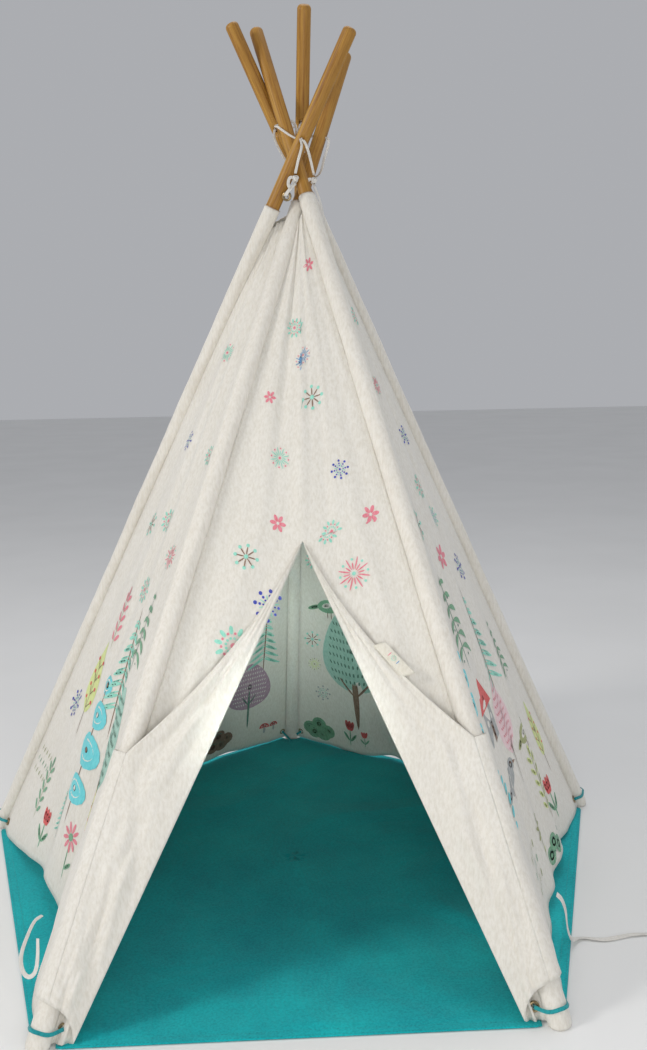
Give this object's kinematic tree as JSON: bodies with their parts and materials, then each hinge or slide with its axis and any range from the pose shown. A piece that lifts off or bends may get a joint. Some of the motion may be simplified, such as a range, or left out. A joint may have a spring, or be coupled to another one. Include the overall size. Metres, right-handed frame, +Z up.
{
  "type": "children's teepee tent",
  "caption": "Canvas play tent on crossed wooden poles that fold together, with a two-flap door, tie tapes and a floor mat.",
  "frame": {"origin": "on the floor, in the middle of the pentagon that the pole feet stand on", "axes": "+Z up, the door faces -Y, +X to the right of somebody who looks at the door"},
  "size_m": [1.342, 1.278, 1.6485],
  "materials": {
    "wood": "clear-coated round hardwood pole",
    "canvas": "cream cotton canvas, plain weave",
    "printed_canvas": "cream cotton canvas with small pastel prints",
    "cotton_tape": "flat white cotton tape",
    "teal_mat": "teal cotton mat with a sewn hem",
    "teal_tape": "teal cotton tape",
    "eyelet_brass": "antique brass",
    "label": null
  },
  "bodies": {
    "mat": {"floor_mat": "teal_mat"},
    "crossing": {"crossing_tape": "cotton_tape"},
    "pole_back": {"pole_back": "wood", "sleeve_back": "canvas", "corner_tie_back": "teal_tape", "eyelet_back_on_back_left": "eyelet_brass", "eyelet_back_on_back_right": "eyelet_brass"},
    "pole_left": {"pole_left": "wood", "sleeve_left": "canvas", "corner_tie_left": "teal_tape", "eyelet_left_on_back_left": "eyelet_brass", "eyelet_left_on_side_left": "eyelet_brass", "eyelet_top_side_left": "eyelet_brass", "eyelet_top_side_right": "eyelet_brass", "tape_knot_left": "cotton_tape", "tape_knot_right": "cotton_tape", "tape_end_left": "cotton_tape", "tape_end_right": "cotton_tape"},
    "pole_front_left": {"pole_front_left": "wood", "sleeve_front_left": "canvas", "corner_tie_front_left": "teal_tape", "eyelet_front_left_on_front": "eyelet_brass", "eyelet_front_left_on_side_left": "eyelet_brass", "tie_loop_left": "cotton_tape"},
    "pole_front_right": {"pole_front_right": "wood", "sleeve_front_right": "canvas", "corner_tie_front_right": "teal_tape", "eyelet_front_right_on_front": "eyelet_brass", "eyelet_front_right_on_side_right": "eyelet_brass", "tie_tape_right": "cotton_tape"},
    "pole_right": {"pole_right": "wood", "sleeve_right": "canvas", "corner_tie_right": "teal_tape", "eyelet_right_on_back_right": "eyelet_brass", "eyelet_right_on_side_right": "eyelet_brass"},
    "panel_back_left": {"panel_back_left": "printed_canvas"},
    "panel_back_right": {"panel_back_right": "printed_canvas"},
    "panel_side_left": {"panel_side_left": "printed_canvas"},
    "panel_side_right": {"panel_side_right": "printed_canvas"},
    "panel_front": {"panel_front": "printed_canvas"},
    "flap_left": {"door_flap_left": "canvas"},
    "flap_right": {"door_flap_right": "canvas", "label_tag": "label"},
    "flap_left_wrap": {"door_flap_left_wrap": "canvas"},
    "flap_right_wrap": {"door_flap_right_wrap": "canvas"}
  },
  "joints": [
    {"name": "lift", "type": "slide", "parent": "mat", "child": "crossing", "axis": [0, 0, 1], "range_m": [0, 0.26], "deforming": ["crossing_tape", "tape_end_left", "tape_end_right"]},
    {"name": "pole_back_fold", "type": "hinge", "parent": "crossing", "child": "pole_back", "pos_m": [0.0464, 0.0671, 1.406], "axis": [-0.9972, -0.0744, 0], "range_deg": [0, 13.37]},
    {"name": "pole_left_fold", "type": "hinge", "parent": "crossing", "child": "pole_left", "pos_m": [0.0423, -0.07, 1.406], "axis": [-0.4536, -0.8912, 0], "range_deg": [0, 16.21]},
    {"name": "pole_front_left_fold", "type": "hinge", "parent": "crossing", "child": "pole_front_left", "pos_m": [0.0712, 0.0067, 1.406], "axis": [0.7641, -0.645, 0], "range_deg": [0, 15.9]},
    {"name": "pole_front_right_fold", "type": "hinge", "parent": "crossing", "child": "pole_front_right", "pos_m": [0.0265, -0.0246, 1.406], "axis": [0.8537, 0.5208, 0], "range_deg": [0, 14.04]},
    {"name": "pole_right_fold", "type": "hinge", "parent": "crossing", "child": "pole_right", "pos_m": [0.023, 0.0482, 1.406], "axis": [-0.2521, 0.9677, 0], "range_deg": [0, 14.04]},
    {"name": "panel_back_left_fold", "type": "hinge", "parent": "crossing", "child": "panel_back_left", "pos_m": [0.04435, -0.00145, 1.406], "axis": [-0.7724, -0.6351, 0], "range_deg": [0, 13.02], "deforming": ["panel_back_left"]},
    {"name": "panel_back_right_fold", "type": "hinge", "parent": "crossing", "child": "panel_back_right", "pos_m": [0.0347, 0.05765, 1.406], "axis": [-0.802, 0.5973, 0], "range_deg": [0, 10.75], "deforming": ["panel_back_right"]},
    {"name": "panel_side_left_fold", "type": "hinge", "parent": "crossing", "child": "panel_side_left", "pos_m": [0.05675, -0.03165, 1.406], "axis": [0.233, -0.9725, 0], "range_deg": [0, 13.43], "deforming": ["panel_side_left"]},
    {"name": "panel_side_right_fold", "type": "hinge", "parent": "crossing", "child": "panel_side_right", "pos_m": [0.02475, 0.0118, 1.406], "axis": [0.3422, 0.9396, 0], "range_deg": [0, 11.89], "deforming": ["panel_side_right"]},
    {"name": "panel_front_fold", "type": "hinge", "parent": "crossing", "child": "panel_front", "pos_m": [0.04885, -0.00895, 1.406], "axis": [0.9961, -0.0887, 0], "range_deg": [0, 12.2], "deforming": ["panel_front"]},
    {"name": "flap_left_close", "type": "hinge", "parent": "pole_front_left", "child": "flap_left", "pos_m": [-0.34818, -0.55704, 0.00772], "axis": [0.4313, 0.3315, 0.8391], "range_deg": [0, 165], "deforming": ["door_flap_left"]},
    {"name": "flap_left_unroll", "type": "hinge", "parent": "flap_left", "child": "flap_left_wrap", "pos_m": [-0.3978, -0.57063, 0.02998], "axis": [0.2991, 0.358, 0.8845], "range_deg": [0, 72], "deforming": ["door_flap_left_wrap"]},
    {"name": "flap_right_close", "type": "hinge", "parent": "pole_front_right", "child": "flap_right", "pos_m": [0.3487, -0.55597, 0.01077], "axis": [0.392, -0.3381, -0.8555], "range_deg": [0, 165], "deforming": ["door_flap_right", "label_tag"]},
    {"name": "flap_right_unroll", "type": "hinge", "parent": "flap_right", "child": "flap_right_wrap", "pos_m": [0.39911, -0.57108, 0.03006], "axis": [0.2448, -0.3463, -0.9056], "range_deg": [0, 72], "deforming": ["door_flap_right_wrap"]}
  ],
  "couplings": [
    {"joint": "pole_back_fold", "follows": "lift", "rad_per_m": 0.89651},
    {"joint": "pole_left_fold", "follows": "lift", "rad_per_m": 1.0877},
    {"joint": "pole_front_left_fold", "follows": "lift", "rad_per_m": 1.0665},
    {"joint": "pole_front_right_fold", "follows": "lift", "rad_per_m": 0.94194},
    {"joint": "pole_right_fold", "follows": "lift", "rad_per_m": 0.94194},
    {"joint": "panel_back_left_fold", "follows": "lift", "rad_per_m": 0.87335},
    {"joint": "panel_back_right_fold", "follows": "lift", "rad_per_m": 0.72101},
    {"joint": "panel_side_left_fold", "follows": "lift", "rad_per_m": 0.90101},
    {"joint": "panel_side_right_fold", "follows": "lift", "rad_per_m": 0.79772},
    {"joint": "panel_front_fold", "follows": "lift", "rad_per_m": 0.81809},
    {"joint": "flap_left_unroll", "follows": "flap_left_close", "ratio": 0.43},
    {"joint": "flap_right_unroll", "follows": "flap_right_close", "ratio": 0.43}
  ]
}
